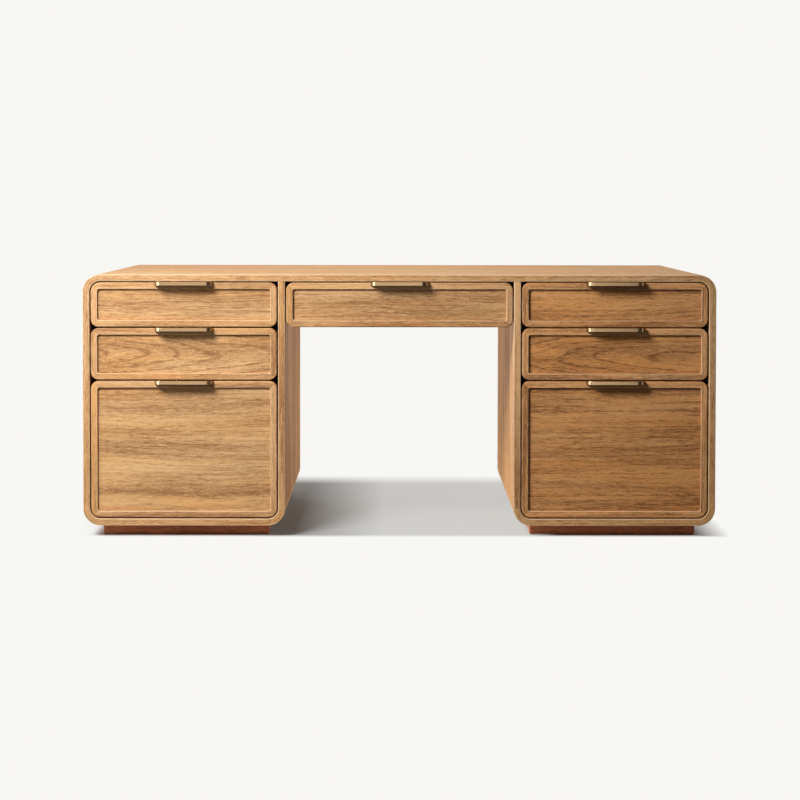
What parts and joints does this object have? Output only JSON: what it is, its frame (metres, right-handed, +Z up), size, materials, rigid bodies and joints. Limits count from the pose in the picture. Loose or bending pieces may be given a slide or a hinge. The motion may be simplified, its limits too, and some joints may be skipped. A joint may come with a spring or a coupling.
{
  "type": "office desk",
  "caption": "Double-pedestal wooden office desk with rounded corners, inset drawers on telescopic slides, brass edge pulls and an open kneehole.",
  "frame": {"origin": "on the floor, under the middle of the width and of the depth, pulls included", "axes": "+Z up, +X to the right of someone facing the drawers, -Y out of the drawer fronts"},
  "size_m": [1.829, 0.786, 0.762],
  "materials": {
    "carcass_wood": "satin",
    "front_wood": "satin",
    "panel_wood": "satin",
    "plinth_wood": "satin",
    "box_wood": "satin",
    "brass": "satin",
    "slide_steel": "zinc plated",
    "nylon": "matte"
  },
  "bodies": {
    "carcass": {"desk_top": "carcass_wood", "left_outer_side": "carcass_wood", "right_outer_side": "carcass_wood", "left_inner_side": "carcass_wood", "right_inner_side": "carcass_wood", "left_bottom": "carcass_wood", "right_bottom": "carcass_wood", "top_corner_blocks": "carcass_wood", "bottom_corner_blocks": "carcass_wood", "corner_splines": "box_wood", "left_back_panel": "carcass_wood", "right_back_panel": "carcass_wood", "centre_back_panel": "carcass_wood", "left_plinth": "plinth_wood", "right_plinth": "plinth_wood", "floor_glides": "nylon", "cabinet_slides": "slide_steel"},
    "left_top_drawer": {"left_top_drawer_frame": "front_wood", "left_top_drawer_panel": "panel_wood", "left_top_drawer_pull": "brass", "left_top_drawer_box": "box_wood", "left_top_drawer_slides": "slide_steel"},
    "left_top_drawer_mid_slides": {"left_top_drawer_mid_slides": "slide_steel"},
    "left_middle_drawer": {"left_middle_drawer_frame": "front_wood", "left_middle_drawer_panel": "panel_wood", "left_middle_drawer_pull": "brass", "left_middle_drawer_box": "box_wood", "left_middle_drawer_slides": "slide_steel"},
    "left_middle_drawer_mid_slides": {"left_middle_drawer_mid_slides": "slide_steel"},
    "left_file_drawer": {"left_file_drawer_frame": "front_wood", "left_file_drawer_panel": "panel_wood", "left_file_drawer_pull": "brass", "left_file_drawer_box": "box_wood", "left_file_drawer_slides": "slide_steel"},
    "left_file_drawer_mid_slides": {"left_file_drawer_mid_slides": "slide_steel"},
    "centre_drawer": {"centre_drawer_frame": "front_wood", "centre_drawer_panel": "panel_wood", "centre_drawer_pull": "brass", "centre_drawer_box": "box_wood", "centre_drawer_slides": "slide_steel"},
    "centre_drawer_mid_slides": {"centre_drawer_mid_slides": "slide_steel"},
    "right_top_drawer": {"right_top_drawer_frame": "front_wood", "right_top_drawer_panel": "panel_wood", "right_top_drawer_pull": "brass", "right_top_drawer_box": "box_wood", "right_top_drawer_slides": "slide_steel"},
    "right_top_drawer_mid_slides": {"right_top_drawer_mid_slides": "slide_steel"},
    "right_middle_drawer": {"right_middle_drawer_frame": "front_wood", "right_middle_drawer_panel": "panel_wood", "right_middle_drawer_pull": "brass", "right_middle_drawer_box": "box_wood", "right_middle_drawer_slides": "slide_steel"},
    "right_middle_drawer_mid_slides": {"right_middle_drawer_mid_slides": "slide_steel"},
    "right_file_drawer": {"right_file_drawer_frame": "front_wood", "right_file_drawer_panel": "panel_wood", "right_file_drawer_pull": "brass", "right_file_drawer_box": "box_wood", "right_file_drawer_slides": "slide_steel"},
    "right_file_drawer_mid_slides": {"right_file_drawer_mid_slides": "slide_steel"}
  },
  "joints": [
    {"name": "left_top_drawer_travel", "type": "slide", "parent": "carcass", "child": "left_top_drawer", "axis": [0, -1, 0], "range_m": [0, 0.55]},
    {"name": "left_top_drawer_mid_travel", "type": "slide", "parent": "carcass", "child": "left_top_drawer_mid_slides", "axis": [0, -1, 0], "range_m": [0, 0.275]},
    {"name": "left_middle_drawer_travel", "type": "slide", "parent": "carcass", "child": "left_middle_drawer", "axis": [0, -1, 0], "range_m": [0, 0.55]},
    {"name": "left_middle_drawer_mid_travel", "type": "slide", "parent": "carcass", "child": "left_middle_drawer_mid_slides", "axis": [0, -1, 0], "range_m": [0, 0.275]},
    {"name": "left_file_drawer_travel", "type": "slide", "parent": "carcass", "child": "left_file_drawer", "axis": [0, -1, 0], "range_m": [0, 0.55]},
    {"name": "left_file_drawer_mid_travel", "type": "slide", "parent": "carcass", "child": "left_file_drawer_mid_slides", "axis": [0, -1, 0], "range_m": [0, 0.275]},
    {"name": "centre_drawer_travel", "type": "slide", "parent": "carcass", "child": "centre_drawer", "axis": [0, -1, 0], "range_m": [0, 0.55]},
    {"name": "centre_drawer_mid_travel", "type": "slide", "parent": "carcass", "child": "centre_drawer_mid_slides", "axis": [0, -1, 0], "range_m": [0, 0.275]},
    {"name": "right_top_drawer_travel", "type": "slide", "parent": "carcass", "child": "right_top_drawer", "axis": [0, -1, 0], "range_m": [0, 0.55]},
    {"name": "right_top_drawer_mid_travel", "type": "slide", "parent": "carcass", "child": "right_top_drawer_mid_slides", "axis": [0, -1, 0], "range_m": [0, 0.275]},
    {"name": "right_middle_drawer_travel", "type": "slide", "parent": "carcass", "child": "right_middle_drawer", "axis": [0, -1, 0], "range_m": [0, 0.55]},
    {"name": "right_middle_drawer_mid_travel", "type": "slide", "parent": "carcass", "child": "right_middle_drawer_mid_slides", "axis": [0, -1, 0], "range_m": [0, 0.275]},
    {"name": "right_file_drawer_travel", "type": "slide", "parent": "carcass", "child": "right_file_drawer", "axis": [0, -1, 0], "range_m": [0, 0.55]},
    {"name": "right_file_drawer_mid_travel", "type": "slide", "parent": "carcass", "child": "right_file_drawer_mid_slides", "axis": [0, -1, 0], "range_m": [0, 0.275]}
  ],
  "couplings": [
    {"joint": "left_top_drawer_mid_travel", "follows": "left_top_drawer_travel", "ratio": 0.5},
    {"joint": "left_middle_drawer_mid_travel", "follows": "left_middle_drawer_travel", "ratio": 0.5},
    {"joint": "left_file_drawer_mid_travel", "follows": "left_file_drawer_travel", "ratio": 0.5},
    {"joint": "centre_drawer_mid_travel", "follows": "centre_drawer_travel", "ratio": 0.5},
    {"joint": "right_top_drawer_mid_travel", "follows": "right_top_drawer_travel", "ratio": 0.5},
    {"joint": "right_middle_drawer_mid_travel", "follows": "right_middle_drawer_travel", "ratio": 0.5},
    {"joint": "right_file_drawer_mid_travel", "follows": "right_file_drawer_travel", "ratio": 0.5}
  ]
}
